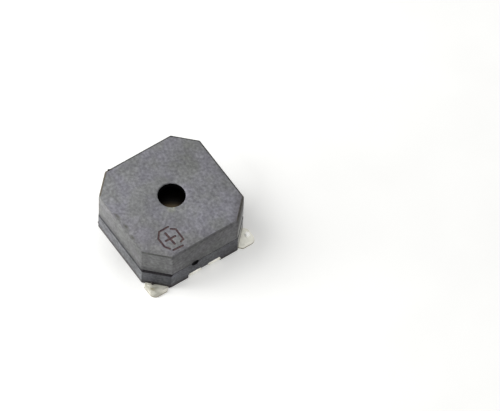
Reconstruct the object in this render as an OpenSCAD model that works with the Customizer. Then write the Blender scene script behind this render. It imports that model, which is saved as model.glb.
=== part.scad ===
// Surface-mount magnetic buzzer: an eight-sided moulded case on a moulded base
// with four tinned corner terminals. Inside are a yoke and pole core with a coil,
// a ring magnet, a support ring, and a diaphragm with its armature disc.
// Millimetres, +Z up. The origin is the middle of the solder plane under the pads.

/* [Case] */
// Width across the flats of the case, in X and in Y
body_w = 8.5; // [8.3:0.1:9.4]
// Height from the solder plane to the top of the case
body_h = 4; // [3.8:0.1:4.8]
// Leg of the four corner chamfers
corner_leg = 1.5; // [1.3:0.1:1.6]
// Thickness of the case's and base's walls beside the support ring
wall_t = 0.56; // [0.5:0.02:0.7]
// Thickness of the roof
roof_t = 0.55; // [0.4:0.05:0.7]
// Width of the shelf over the support ring, around the sound chamber
shelf_w = 0.39; // [0.2:0.01:0.6]
// Diameter of the sound hole
sound_hole_d = 2; // [1.2:0.1:2.6]
// Flat broken along the top edges of the case
top_break = 0.08; // [0.04:0.02:0.2]

/* [Base] */
// Height of the base's underside above the solder plane
standoff = 0.1; // [0.04:0.02:0.12]
// Height of the base from its underside to its rim
base_h = 1.52; // [1.3:0.02:1.7]
// Thickness of the base's floor
base_floor_t = 0.6; // [0.5:0.05:0.7]
// How far the base's walls stand back from the case's walls
base_inset = 0.03; // [0.01:0.01:0.06]
// How far the base's corner chamfers stand out past the case's chamfers
base_corner_out = 0.05; // [0:0.01:0.08]
// Flat broken along the bottom edges of the base
bottom_break = 0.05; // [0.02:0.01:0.08]
// Width of the bonded seam between base and case
seam_gap = 0.06; // [0.04:0.01:0.1]
// How far the seam adhesive stays back from the walls
seam_set_in = 0.15; // [0.1:0.01:0.2]
// Width of the vent notch at the seam
vent_w = 0.55; // [0.3:0.05:0.7]
// Height of the vent notch
vent_h = 0.46; // [0.3:0.02:0.5]
// How far the vent notch reaches up into the case
vent_rise = 0.21; // [0.1:0.01:0.3]
// Depth of the vent notch into the wall
vent_depth = 0.15; // [0.1:0.01:0.2]
// Offset of the vent notch from the middle of its wall
vent_offset = 0.78; // [0.4:0.02:1.2]

/* [Tie bar notches and pin holes] */
// Free space beside the tie bars in the notch under each side wall
notch_side = 0.05; // [0.02:0.01:0.15]
// Depth of the notch, inward from the wall
notch_depth = 0.84; // [0.6:0.02:0.9]
// Diameter of the two round holes that the mould's support pins leave
pin_hole_d = 0.8; // [0.5:0.05:0.85]

/* [Terminals] */
// Thickness of the lead frame
lead_t = 0.15; // [0.1:0.01:0.18]
// Height of the embedded lead frame above the solder plane
lead_rise = 0.4; // [0.38:0.01:0.42]
// Inner radius of the bends
bend_in = 0.05; // [0.03:0.01:0.07]
// Width of the three full pads
pad_w = 1.65; // [1.4:0.05:1.8]
// How far a pad reaches in under the corner chamfer
pad_lap = 0.5; // [0.4:0.02:0.6]
// How far the pads and tie bars stand out past the case's sides
pad_overhang = 0.15; // [0.1:0.01:0.2]
// Radius of a pad's outer corner
pad_corner_r = 0.35; // [0.2:0.05:0.5]
// Width of the trimmed pad
trimmed_w = 1.5; // [1.3:0.05:1.6]
// How far the trimmed pad stands out past its chamfer
trimmed_reach = 0.06; // [0.02:0.01:0.1]
// Width of the strip that leads in from a pad
neck_w = 1.2; // [1:0.05:1.3]
// Width of the rail that joins the neck to its tie bar
rail_w = 0.8; // [0.6:0.05:0.9]
// How far the rail stays back in the plastic from the foot of the notch
rail_cover = 0.1; // [0.05:0.01:0.15]
// Width of a tie bar
tie_w = 1; // [0.8:0.05:1.02]
// Free space between the two tie bars on one side
tie_space = 0.6; // [0.5:0.05:0.7]
// Distance of the solder lands' middles from the coil's side
land_gap = 0.63; // [0.58:0.01:0.7]
// Diameter of a solder land
land_d = 0.9; // [0.86:0.02:1]
// Room around a land in its window, and from the land's edge to the solder
land_room = 0.1; // [0.06:0.01:0.12]
// Width of the arm from the rail to its solder land
land_arm_w = 0.7; // [0.5:0.05:0.8]

/* [Magnet system] */
// Thickness of the yoke plate
yoke_t = 0.4; // [0.3:0.05:0.5]
// Diameter of the pole core
core_d = 1.5; // [1.3:0.05:1.7]
// How far the pole core stands above the ring magnet
core_proud = 0.1; // [0.05:0.01:0.15]
// Diameter of the core's riveted foot in the yoke plate
core_foot_d = 1; // [0.8:0.05:1.1]
// Thickness of the film washer under the coil
washer_t = 0.06; // [0.04:0.01:0.08]
// Free space between the coil and the ring magnet, where the leads run
coil_gap = 0.25; // [0.2:0.01:0.35]
// How far the coil stays below the top of the ring magnet
coil_recess = 0.08; // [0.04:0.02:0.2]
// Radial clearance of the coil around the core
coil_clearance = 0.05; // [0.02:0.01:0.08]
// Diameter of the enamelled wire
wire_d = 0.07; // [0.05:0.005:0.08]
// Wall of the ring magnet
magnet_wall = 0.8; // [0.6:0.05:1]
// Height of the ring magnet
magnet_h = 1.1; // [1:0.05:1.2]
// Free space between the ring magnet and the support ring
magnet_gap = 0.1; // [0.05:0.01:0.2]
// Thickness of the adhesive bead between the yoke plate and the support ring
bead_t = 0.1; // [0.06:0.01:0.2]
// Height of that bead
bead_h = 0.25; // [0.15:0.05:0.3]

/* [Diaphragm] */
// Wall of the support ring
ring_wall = 0.4; // [0.36:0.02:0.44]
// Free height between the ring magnet and the diaphragm
air_gap = 0.25; // [0.2:0.01:0.3]
// Height of the rim that centres the diaphragm
rim_h = 0.1; // [0.06:0.01:0.12]
// Wall of that rim
rim_wall = 0.15; // [0.12:0.01:0.18]
// Clearance around the diaphragm, and around the support ring
fit_clearance = 0.04; // [0.02:0.01:0.06]
// Free height over the support ring's rim
headroom = 0.07; // [0.04:0.01:0.1]
// Thickness of the diaphragm
diaphragm_t = 0.05; // [0.03:0.01:0.06]
// Diameter of the armature disc
armature_d = 3.6; // [3:0.1:4.2]
// Thickness of the armature disc
armature_t = 0.2; // [0.15:0.01:0.25]

/* [Polarity mark] */
// Distance of the mark's middle from the +X wall
mark_in_x = 1.38; // [1.35:0.01:1.5]
// Distance of the mark's middle from the -Y wall
mark_in_y = 2.28; // [2.2:0.01:2.4]
// Length of the mark's eight-sided outline, in X
mark_l = 1.84; // [1.7:0.02:1.9]
// Width of the outline, in Y
mark_w = 1.46; // [1.4:0.02:1.5]
// Length of the plus sign, in X
plus_l = 1.05; // [0.9:0.05:1.15]
// Width of the plus sign, in Y
plus_w = 0.8; // [0.7:0.05:0.9]
// Width of the mark's strokes
stroke_w = 0.11; // [0.08:0.01:0.14]
// Depth of the mark
mark_depth = 0.03; // [0.02:0.01:0.05]

/* [Hidden] */

// Margin by which a cutting shape runs past the face that it opens
over = 1;
root2 = sqrt(2);

// Half widths of the body, and the distance from the axis to a corner chamfer
half_w = body_w / 2;
chamfer_at = (body_w - corner_leg) / root2;

// Levels from the solder plane up
base_top = standoff + base_h;
case_bottom = base_top + seam_gap;
floor_top = standoff + base_floor_t;
lead_top = lead_rise + lead_t;
yoke_top = floor_top + yoke_t;
coil_bottom = yoke_top + washer_t;
seat_z = yoke_top + magnet_h + air_gap;
shelf_z = seat_z + rim_h + headroom;
chamber_top = body_h - roof_t;

// Round pieces from the walls in: the support ring, what it holds, and the coil
ring_bore_d = body_w - 2 * wall_t;
chamber_d = ring_bore_d - 2 * shelf_w;
ring_d = ring_bore_d - 2 * fit_clearance;
ring_hole_d = ring_d - 2 * ring_wall;
rim_d = ring_d - 2 * rim_wall;
diaphragm_d = rim_d - 2 * fit_clearance;
yoke_d = ring_hole_d - 2 * bead_t;
magnet_d = ring_hole_d - 2 * magnet_gap;
magnet_hole_d = magnet_d - 2 * magnet_wall;
coil_d = magnet_hole_d - 2 * coil_gap;
coil_hole_d = core_d + 2 * coil_clearance;

// Terminal strip: bends, and the distances of its heels and tips along the diagonal
bend_out = bend_in + lead_t;
pad_heel = chamfer_at - pad_lap;
trimmed_tip = chamfer_at + trimmed_reach;
reach = half_w + pad_overhang;
wall_foot = half_w - notch_depth;
notch_w = tie_space + 2 * tie_w + 2 * notch_side;
rail_outer = wall_foot - rail_cover;
rail_inner = rail_outer - rail_w;
bend_lap = 0.15;
neck_inner = rail_inner * root2 - bend_lap;

// Coil's leads, which bend down between coil and magnet, then out over the lands
land_offset = coil_d / 2 + land_gap;
lead_bend = coil_gap / 2;
lead_start_z = coil_bottom + lead_bend;
lead_end_z = floor_top + wire_d;
lead_drop_r = coil_d / 2 + lead_bend;
lead_end_r = land_offset - wire_d;

// Window in the floor over a land, cut in the yoke plate, and dome of solder
window_d = land_d + 2 * land_room;
yoke_cut_w = window_d + land_room;
solder_d = land_d - 2 * land_room;
solder_h = lead_end_z + wire_d - lead_top;
solder_r = (solder_d * solder_d / 4 + solder_h * solder_h) / (2 * solder_h);

// Plan of the body, with its walls set back and its chamfers moved out
module body_plan(inset = 0, corner_out = 0) {
    flat = half_w - inset;
    corner = (chamfer_at + corner_out) * root2 - flat;
    polygon([[flat, -corner], [flat, corner], [corner, flat], [-corner, flat],
        [-flat, corner], [-flat, -corner], [-corner, -flat], [corner, -flat]]);
}

// Wedges that break the eight edges of the body's outline at height z
module edge_breaks(z, size, inset = 0, corner_out = 0) {
    for (side = [0 : 7])
        rotate([0, 0, side * 45])
            translate([side % 2 == 0 ? half_w - inset : chamfer_at + corner_out, 0, z])
                rotate([0, 45, 0])
                    cube([size * root2, body_w, size * root2], center = true);
}

// Places something made for the corner at +X -Y in any of the four corners
module at_corner(x_side, y_side) {
    mirror([x_side > 0 ? 0 : 1, 0, 0])
        mirror([0, y_side < 0 ? 0 : 1, 0])
            children();
}

// Notch at the seam in the +X wall
module vent_notch() {
    straight = vent_w - vent_h;
    translate([half_w - vent_depth, -vent_offset, case_bottom - vent_h / 2 + vent_rise])
        rotate([90, 0, 90]) {
            translate([-straight / 2, -vent_h / 2, 0])
                cube([straight, vent_h, over]);
            for (end = [-1, 1])
                translate([end * straight / 2, 0, 0])
                    cylinder(d = vent_h, h = over, $fn = 32);
        }
}

// One straight stroke of the mark between two points of its plan
module stroke(from, to) {
    along = to - from;
    translate([from.x, from.y, 0])
        rotate([0, 0, atan2(along.y, along.x)])
            translate([0, -stroke_w / 2, 0])
                cube([norm(along), stroke_w, mark_depth + over]);
}

// Polarity mark: an eight-sided outline around a plus sign
module polarity_mark() {
    x = mark_l / 2;
    y = mark_w / 2;
    corner_x = x / 2;
    corner_y = y / 2;
    outline = [[x, -corner_y], [x, corner_y], [corner_x, y], [-corner_x, y],
        [-x, corner_y], [-x, -corner_y], [-corner_x, -y], [corner_x, -y]];
    translate([half_w - mark_in_x, mark_in_y - half_w, body_h - mark_depth]) {
        for (i = [0 : 7])
            stroke(outline[i], outline[(i + 1) % 8]);
        stroke([-plus_l / 2, 0], [plus_l / 2, 0]);
        stroke([0, -plus_w / 2], [0, plus_w / 2]);
    }
}

module case() {
    color([0.42, 0.42, 0.44])
        difference() {
            translate([0, 0, case_bottom])
                linear_extrude(body_h - case_bottom) body_plan();
            edge_breaks(body_h, top_break);
            translate([0, 0, case_bottom - over])
                cylinder(d = ring_bore_d, h = shelf_z - case_bottom + over, $fn = 96);
            translate([0, 0, shelf_z - over])
                cylinder(d = chamber_d, h = chamber_top - shelf_z + over, $fn = 96);
            translate([0, 0, chamber_top - over])
                cylinder(d = sound_hole_d, h = roof_t + 2 * over, $fn = 64);
            polarity_mark();
            vent_notch();
        }
}

module base() {
    color([0.36, 0.37, 0.39])
        difference() {
            translate([0, 0, standoff])
                linear_extrude(base_h) body_plan(base_inset, base_corner_out);
            edge_breaks(standoff, bottom_break, base_inset, base_corner_out);
            translate([0, 0, floor_top])
                cylinder(d = ring_bore_d, h = base_h, $fn = 96);
            for (side = [-1, 1]) {
                translate([side * (wall_foot + half_w) / 2, 0, lead_rise - over / 2])
                    cube([notch_depth, notch_w, over], center = true);
                translate([0, side * land_offset, standoff - over]) {
                    cylinder(d = pin_hole_d, h = lead_rise - standoff + over, $fn = 48);
                    translate([0, 0, lead_top - standoff + over])
                        cylinder(d = window_d, h = over, $fn = 48);
                }
            }
            vent_notch();
            terminal_plus();
            terminal_minus();
            terminal_dummy();
            terminal_dummy_trimmed();
        }
}

// Quarter of a ring with the sheet's thickness, round the corner of two legs
module bend_section() {
    intersection() {
        difference() {
            circle(r = bend_out, $fn = 48);
            circle(r = bend_in, $fn = 32);
        }
        square(bend_out);
    }
}

// Side view of a terminal's strip: pad, bend up, riser, bend in, and a lap on the neck
module strip_section(heel, tip) {
    translate([heel + bend_out, 0])
        square([tip - heel - bend_out, lead_t]);
    translate([heel + bend_out, bend_out])
        rotate(180) bend_section();
    translate([heel, bend_out])
        square([lead_t, lead_rise - bend_in - bend_out]);
    translate([heel - bend_in, lead_rise - bend_in])
        bend_section();
    translate([heel - bend_in - bend_lap, lead_rise])
        square([bend_lap, lead_t]);
}

module strip(heel, tip, width) {
    rotate([0, 0, -45])
        translate([0, width / 2, 0])
            rotate([90, 0, 0])
                linear_extrude(width) strip_section(heel, tip);
}

// The square plan that bounds the pads, with its corners rounded
module pad_limit() {
    straight = reach - pad_corner_r;
    linear_extrude(lead_top) {
        square([2 * reach, 2 * straight], center = true);
        square([2 * straight, 2 * reach], center = true);
        for (x = [-1, 1], y = [-1, 1])
            translate([x * straight, y * straight])
                circle(r = pad_corner_r, $fn = 48);
    }
}

// The embedded level of a terminal: neck, rail and tie bar
module embedded_frame(heel) {
    translate([0, 0, lead_rise])
        linear_extrude(lead_t) {
            rotate(-45)
                translate([neck_inner, -neck_w / 2])
                    square([heel - bend_in - bend_lap / 2 - neck_inner, neck_w]);
            translate([rail_inner, -rail_inner])
                square([rail_w, rail_inner - tie_space / 2]);
            translate([rail_inner, -tie_space / 2 - tie_w])
                square([reach - rail_inner, tie_w]);
        }
}

// The arm from the rail to the round land that takes the coil's lead
module land_arm() {
    translate([0, 0, lead_rise])
        linear_extrude(lead_t) {
            translate([0, -land_offset - land_arm_w / 2])
                square([(rail_inner + rail_outer) / 2, land_arm_w]);
            translate([0, -land_offset])
                circle(d = land_d, $fn = 48);
        }
}

module full_terminal() {
    intersection() {
        strip(pad_heel, reach * root2, pad_w);
        pad_limit();
    }
    embedded_frame(pad_heel);
}

module terminal_plus() {
    color([0.9, 0.89, 0.84])
        at_corner(1, -1) {
            full_terminal();
            land_arm();
        }
}

module terminal_minus() {
    color([0.9, 0.89, 0.84])
        at_corner(-1, 1) {
            full_terminal();
            land_arm();
        }
}

module terminal_dummy() {
    color([0.9, 0.89, 0.84])
        at_corner(1, 1)
            full_terminal();
}

module terminal_dummy_trimmed() {
    color([0.9, 0.89, 0.84])
        at_corner(-1, -1) {
            strip(pad_heel, trimmed_tip, trimmed_w);
            embedded_frame(pad_heel);
        }
}

// Bond line between the base's rim and the case's lower edge
module seam_adhesive() {
    color([0.12, 0.11, 0.11])
        translate([0, 0, base_top])
            linear_extrude(seam_gap)
                difference() {
                    body_plan(seam_set_in, -seam_set_in);
                    circle(d = ring_bore_d, $fn = 96);
                }
}

// Round-ended cuts from the coil's side outward, over the solder lands
module land_cuts() {
    for (turn = [-90, 90])
        rotate([0, 0, turn])
            translate([(coil_d + yoke_cut_w) / 2, 0, floor_top - over]) {
                cylinder(d = yoke_cut_w, h = yoke_t + 2 * over, $fn = 48);
                translate([0, -yoke_cut_w / 2, 0])
                    cube([ring_d / 2, yoke_cut_w, yoke_t + 2 * over]);
            }
}

module yoke_plate() {
    color([0.66, 0.66, 0.64])
        difference() {
            translate([0, 0, floor_top])
                cylinder(d = yoke_d, h = yoke_t, $fn = 96);
            translate([0, 0, floor_top - over])
                cylinder(d = core_foot_d, h = yoke_t + 2 * over, $fn = 48);
            land_cuts();
        }
}

module pole_core() {
    color([0.7, 0.69, 0.66]) {
        translate([0, 0, floor_top])
            cylinder(d = core_foot_d, h = yoke_t, $fn = 48);
        translate([0, 0, yoke_top])
            cylinder(d = core_d, h = magnet_h + core_proud, $fn = 48);
    }
}

// A flat ring that stands at z around the core
module washer_shape(z, outer_d, inner_d, h) {
    translate([0, 0, z])
        linear_extrude(h)
            difference() {
                circle(d = outer_d, $fn = 96);
                circle(d = inner_d, $fn = 64);
            }
}

module coil_washer() {
    color([0.75, 0.5, 0.2])
        washer_shape(yoke_top, coil_d, coil_hole_d, washer_t);
}

module coil_winding() {
    color([0.72, 0.34, 0.16])
        washer_shape(coil_bottom, coil_d, coil_hole_d, magnet_h - washer_t - coil_recess);
}

// One bend of a lead, in the plane of the lead, round the corner at its middle
module lead_elbow() {
    rotate([90, 0, 0])
        rotate_extrude(angle = 90, $fn = 48)
            translate([lead_bend, 0])
                circle(d = wire_d, $fn = 24);
}

// A lead from the coil's side, down beside it and out into its solder joint
module coil_lead() {
    bottom_z = lead_end_z + lead_bend;
    top_z = lead_start_z - lead_bend;
    translate([coil_d / 2, 0, top_z])
        lead_elbow();
    translate([lead_drop_r, 0, bottom_z])
        cylinder(d = wire_d, h = top_z - bottom_z, $fn = 24);
    translate([lead_drop_r + lead_bend, 0, bottom_z])
        rotate([0, 180, 0]) lead_elbow();
    translate([lead_drop_r + lead_bend, 0, lead_end_z])
        rotate([0, 90, 0])
            cylinder(d = wire_d, h = lead_end_r - lead_drop_r - lead_bend, $fn = 24);
}

// A dome of solder on the land, with the lead's end in it
module solder_joint() {
    difference() {
        intersection() {
            translate([land_offset, 0, lead_top + solder_h - solder_r])
                sphere(r = solder_r, $fn = 64);
            translate([land_offset, 0, lead_top + over / 2])
                cube(over, center = true);
        }
        coil_lead();
    }
}

module coil_lead_plus() {
    color([0.75, 0.36, 0.17])
        rotate([0, 0, -90]) coil_lead();
}

module coil_lead_minus() {
    color([0.75, 0.36, 0.17])
        rotate([0, 0, 90]) coil_lead();
}

module solder_joint_plus() {
    color([0.8, 0.8, 0.79])
        rotate([0, 0, -90]) solder_joint();
}

module solder_joint_minus() {
    color([0.8, 0.8, 0.79])
        rotate([0, 0, 90]) solder_joint();
}

module ring_magnet() {
    color([0.45, 0.45, 0.46])
        washer_shape(yoke_top, magnet_d, magnet_hole_d, magnet_h);
}

// Bead between the yoke plate's edge and the support ring
module yoke_adhesive() {
    color([0.85, 0.8, 0.6])
        difference() {
            washer_shape(floor_top, ring_hole_d, yoke_d, bead_h);
            land_cuts();
        }
}

// Ring that carries the diaphragm on a seat inside a low rim
module support_ring() {
    color([0.8, 0.78, 0.7])
        difference() {
            translate([0, 0, floor_top])
                cylinder(d = ring_d, h = seat_z + rim_h - floor_top, $fn = 96);
            translate([0, 0, floor_top - over])
                cylinder(d = ring_hole_d, h = body_h, $fn = 96);
            translate([0, 0, seat_z])
                cylinder(d = rim_d, h = rim_h + over, $fn = 96);
        }
}

module diaphragm() {
    color([0.72, 0.62, 0.36])
        translate([0, 0, seat_z])
            cylinder(d = diaphragm_d, h = diaphragm_t, $fn = 96);
}

module armature_disc() {
    color([0.55, 0.52, 0.4])
        translate([0, 0, seat_z + diaphragm_t])
            cylinder(d = armature_d, h = armature_t, $fn = 64);
}

case();
base();
terminal_plus();
terminal_minus();
terminal_dummy();
terminal_dummy_trimmed();
seam_adhesive();
yoke_plate();
pole_core();
coil_washer();
coil_winding();
coil_lead_plus();
coil_lead_minus();
solder_joint_plus();
solder_joint_minus();
ring_magnet();
yoke_adhesive();
support_ring();
diaphragm();
armature_disc();
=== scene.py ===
# Surface-mount magnetic buzzer, dressed piece by piece in the order it is put together.
# Lengths are drawn in millimetres and scaled to metres as each piece is finished.
from math import asin, cos, degrees, exp, pi, radians, sin, sqrt

import bmesh
import bpy
from mathutils import Matrix, Vector, noise


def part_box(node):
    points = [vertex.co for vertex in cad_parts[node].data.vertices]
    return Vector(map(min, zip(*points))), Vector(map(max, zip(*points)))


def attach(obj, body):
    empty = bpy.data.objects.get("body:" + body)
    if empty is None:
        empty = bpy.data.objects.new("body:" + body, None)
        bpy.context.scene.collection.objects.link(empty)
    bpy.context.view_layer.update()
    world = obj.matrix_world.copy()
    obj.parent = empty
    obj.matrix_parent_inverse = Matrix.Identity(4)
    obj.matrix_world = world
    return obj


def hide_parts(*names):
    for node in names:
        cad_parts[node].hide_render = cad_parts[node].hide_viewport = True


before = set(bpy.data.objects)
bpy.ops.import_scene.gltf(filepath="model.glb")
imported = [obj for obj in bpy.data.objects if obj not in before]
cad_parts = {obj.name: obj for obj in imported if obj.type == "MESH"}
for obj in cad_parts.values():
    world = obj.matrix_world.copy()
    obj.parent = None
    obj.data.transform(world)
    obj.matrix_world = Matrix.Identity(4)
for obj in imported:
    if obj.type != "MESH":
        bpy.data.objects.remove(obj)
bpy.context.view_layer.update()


# --- Terminals ---
# Four pieces of tinned brass sheet, stamped in one lead frame and cropped apart later.
# Each is a flat blank with a rail, a tie bar and a corner pad. Two of them also have an
# arm with a round land for the coil. The pad is bent down and out, below the base.
MM = 0.001
DIAGONAL = sqrt(2.0)
scene = bpy.context.scene


def box_of(node):
    """Lowest and highest corners of a CAD node, in millimetres."""
    low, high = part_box(node)
    return low / MM, high / MM


def start_material(name, **sockets):
    """A material with its shader's constants set."""
    material = bpy.data.materials.new(name)
    material.use_nodes = True
    shader = material.node_tree.nodes["Principled BSDF"]
    for socket, value in sockets.items():
        shader.inputs[socket.replace("_", " ")].default_value = value
    return material


def add_node(owner, kind, inputs=(), **settings):
    """Adds a node to a material or a world, and fills its inputs with values or with
    other nodes' outputs."""
    tree = owner.node_tree
    node = tree.nodes.new("ShaderNode" + kind)
    for setting, value in settings.items():
        setattr(node, setting, value)
    for socket, value in dict(inputs).items():
        if isinstance(value, bpy.types.NodeSocket):
            tree.links.new(value, node.inputs[socket])
        else:
            node.inputs[socket].default_value = value
    return node


def worked(owner, operation, first, second):
    """What a math node makes of two values."""
    return add_node(owner, "Math", {0: first, 1: second}, operation=operation).outputs[0]


def place(material, centre=(0, 0, 0), stretch=(1, 1, 1), turn=0.0):
    """Object coordinates in millimetres from a centre. A pattern on them is stretched
    along axes that are turned about Z."""
    return add_node(material, "Mapping", {
        "Vector": add_node(material, "TexCoord").outputs["Object"],
        "Location": [value * MM for value in centre],
        "Rotation": (0, 0, turn),
        "Scale": [value * MM for value in stretch]},
        vector_type="TEXTURE").outputs["Vector"]


def along(material, direction):
    """How far a point lies along a direction from the middle, in millimetres."""
    return add_node(material, "VectorMath", {0: place(material), 1: direction},
                    operation="DOT_PRODUCT").outputs["Value"]


def spot(material, centre, size, core=0.5, turn=0.0):
    """1 in the middle of an oval of half-widths size, fading to 0 at its edge."""
    inside = add_node(material, "VectorMath", {0: place(material, centre, size, turn)},
                      operation="LENGTH").outputs["Value"]
    return spread(material, inside, core, 1.0, 1.0, 0)


def lumps(material, size, detail=2.0, roughness=0.5, where=None):
    """Soft noise with lumps about size millimetres across."""
    return add_node(material, "TexNoise", {
        "Vector": where or place(material), "Scale": 1.0 / size, "Detail": detail,
        "Roughness": roughness}).outputs["Fac"]


def rgba(colour):
    """A linear colour, or a number for a grey, with its alpha. An output stays as it is."""
    if isinstance(colour, bpy.types.NodeSocket):
        return colour
    return (*colour, 1.0) if isinstance(colour, tuple) else (colour, colour, colour, 1.0)


def shades(material, factor, *stops):
    """Colours along a ramp: each stop is a place from 0 to 1 and a colour."""
    ramp = add_node(material, "ValToRGB", {"Fac": factor})
    points = ramp.color_ramp.elements
    while len(points) < len(stops):
        points.new(0.5)
    for point, (position, colour) in zip(points, stops):
        point.position = position
        point.color = rgba(colour)
    return ramp.outputs["Color"]


def mixed(material, factor, first, second, blend="MIX"):
    """Two colours mixed, with factor as a number or an output."""
    return add_node(material, "Mix", {0: factor, 6: rgba(first), 7: rgba(second)},
                    data_type="RGBA", blend_type=blend).outputs[2]


def spread(owner, value, low, high, to_low=0.0, to_high=1.0):
    """Maps a value's range from low to high onto another range, and clamps it."""
    return add_node(owner, "MapRange", {
        "Value": value, "From Min": low, "From Max": high,
        "To Min": to_low, "To Max": to_high}).outputs["Result"]


def coat(material, colour=None, roughness=None, relief=()):
    """Joins colour, roughness and a list of (height, depth in mm) to the shader."""
    normal = {}
    for height, depth in relief:
        bump = add_node(material, "Bump", {"Height": height, "Distance": depth * MM,
                                           "Strength": 1.0, **normal})
        normal = {"Normal": bump.outputs["Normal"]}
    tree = material.node_tree
    joined = {"Base Color": colour, "Roughness": roughness, **normal}
    for socket, output in joined.items():
        if output is not None:
            tree.links.new(output, tree.nodes["Principled BSDF"].inputs[socket])
    return material


def mottled(name, dark, light, patch, grain, depth, band=0.35, sheen=None, **sockets):
    """A material with lumps of two colours and a relief, depth millimetres high. patch
    and grain are those lumps' sizes and details, and sheen its range of roughness."""
    material = start_material(name, **sockets)
    tone = shades(material, lumps(material, *patch), (band, dark), (1.0 - band, light))
    matte = sheen and spread(material, lumps(material, 0.3), 0.3, 0.7, *sheen)
    return coat(material, tone, matte, [(lumps(material, *grain), depth)])


def move(bm, way, verts=None):
    """Moves a mesh, or some of its corners."""
    bmesh.ops.translate(bm, vec=way, verts=verts or bm.verts[:])


def resize(bm, by):
    """Scales a mesh along each axis."""
    bmesh.ops.scale(bm, vec=by, verts=bm.verts[:])


def push_out(bm, faces, way):
    """Extrudes faces along a vector, and gives back the ones at its end."""
    grown = bmesh.ops.extrude_face_region(bm, geom=faces)["geom"]
    move(bm, way, [item for item in grown if isinstance(item, bmesh.types.BMVert)])
    return [item for item in grown if isinstance(item, bmesh.types.BMFace)]


def close_up(bm):
    """Merges doubled corners, and turns every face outward."""
    bmesh.ops.remove_doubles(bm, verts=bm.verts[:], dist=1e-5)
    bmesh.ops.recalc_face_normals(bm, faces=bm.faces[:])
    return bm


def rise(edge):
    """The difference in height between an edge's ends."""
    return abs(edge.verts[0].co.z - edge.verts[1].co.z)


def round_edges(bm, width, segments, wanted):
    """Rounds the edges of a mesh that wanted says yes to."""
    bmesh.ops.bevel(
        bm, geom=[edge for edge in bm.edges if wanted(edge)], offset=width,
        offset_type="OFFSET", segments=segments, profile=0.5, affect="EDGES",
        clamp_overlap=True, material=-1)


def split(bm, point, normal):
    """Adds edges where a plane goes through a mesh."""
    bmesh.ops.bisect_plane(
        bm, geom=bm.verts[:] + bm.edges[:] + bm.faces[:], dist=1e-6,
        plane_co=point, plane_no=normal)


def as_mesh(bm, name="rough"):
    """Ends the drawing of a mesh, and makes it mesh data."""
    mesh = bpy.data.meshes.new(name)
    bm.to_mesh(mesh)
    bm.free()
    return mesh


def in_scene(name, data):
    """A new object of the scene."""
    thing = bpy.data.objects.new(name, data)
    scene.collection.objects.link(thing)
    return thing


def finish_piece(bm, name, materials, node):
    """Makes a drawn mesh a piece in metres, which rides on the part and replaces a node."""
    resize(close_up(bm), (MM, MM, MM))
    mesh = as_mesh(bm, name)
    for material in materials:
        mesh.materials.append(material)
    mesh.shade_smooth()
    mesh.set_sharp_from_angle(angle=radians(32))
    piece = in_scene(name, mesh)
    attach(piece, "root")
    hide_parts(node)


sheet_t = 0.15


# Where the E tab has a bead of lower roughness, under a painted highlight.
GLINT = ((3.60, 4.13, sheet_t), (0.24, 0.28, 0.2))
TIN_STAIN_AND_PAINTED_LIGHT = (
    # Painted light: the E tab, which lies in the body's shade, made pale.
    ((4.00, 3.95, 0.1), (1.6, 1.6, 0.4), (0.90, 0.89, 0.80)),
    # Painted shade: the S tab, which faces the lamps, made darker.
    ((3.90, -3.90, 0.1), (1.5, 1.5, 0.4), (0.52, 0.51, 0.44)),
    # Painted shade: darker on the S tab's left part, where it faces the lamps.
    ((3.60, -4.37, sheet_t), (0.60, 0.40, 0.3), (0.46, 0.45, 0.39)),
    # A brown spot of real staining on the S tab.
    ((3.70, -4.01, sheet_t), (0.34, 0.17, 0.2), (0.26, 0.24, 0.17)),
    # Painted highlight on the E tab.
    (*GLINT, (1.0, 1.0, 0.97)),
    # Painted light: the S tab's outer part made paler.
    ((4.13, -3.35, sheet_t), (0.5, 0.45, 0.2), (0.85, 0.83, 0.74)),
    # Painted light: the tie bars' cropped ends, in shade under the base, made pale.
    ((4.35, 0.80, 0.5), (0.7, 0.9, 0.3), (1.0, 0.98, 0.90)),
    ((4.35, -0.80, 0.5), (0.7, 0.9, 0.3), (1.0, 0.98, 0.90)))


def tin_plating():
    """Matte tin over brass: pale, with brownish stains, and with marks that are each a
    centre, half-widths and a colour: one brown spot, and otherwise painted light, painted
    shade and a painted highlight."""
    material = start_material("tin_plating", Metallic=0.6, Roughness=0.4)
    tone = shades(material, lumps(material, 0.45, 3.0), (0.32, (0.50, 0.49, 0.40)),
                  (0.68, (0.66, 0.65, 0.57)))
    stains = spread(material, lumps(material, 0.35, 1.0), 0.56, 0.76, 0.0, 0.8)
    tone = mixed(material, stains, tone, (0.42, 0.39, 0.31))
    across = radians(45)
    for centre, size, shade in TIN_STAIN_AND_PAINTED_LIGHT:
        tone = mixed(material, spot(material, centre, size, 0.25, across), tone, shade)
    sheen = spread(material, lumps(material, 0.12), 0.3, 0.7, 0.34, 0.55)
    drawn_down = spread(material, along(material, (1, 0, 0)), 4.2, 4.4, 1.0, 0)
    bead = spot(material, *GLINT, 0.0, across)
    sheen = worked(material, "MULTIPLY", sheen, spread(material, bead, 0.0, 0.6, 1.0, 0.35))
    return coat(material, tone, sheen, [
        (lumps(material, 0.5), 0.05), (lumps(material, 0.05), 0.004),
        (bead, 0.06), (drawn_down, 0.13)])


pad_width = 1.65
trimmed_width = 1.50
neck_half = 0.60
rail_inner = 2.51
rail_outer = 3.31
tie_near = 0.30
tie_far = 1.30
first_bend = 4.40
pad_root = 4.25
bend_middle = 0.125
riser = 0.15
corner_r = 0.45
trimmed_tip = 5.01
land_at = 2.73
land_r = 0.45
arm_half = 0.35
neck_end = 3.40
stamped_edge = 0.02

frame_corner = box_of("terminal_plus")[1]
frame_reach = frame_corner.x
embedded_middle = frame_corner.z - sheet_t / 2
bend_length = bend_middle * pi / 2
unrolled = 2 * (bend_length - bend_middle) + riser


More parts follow.
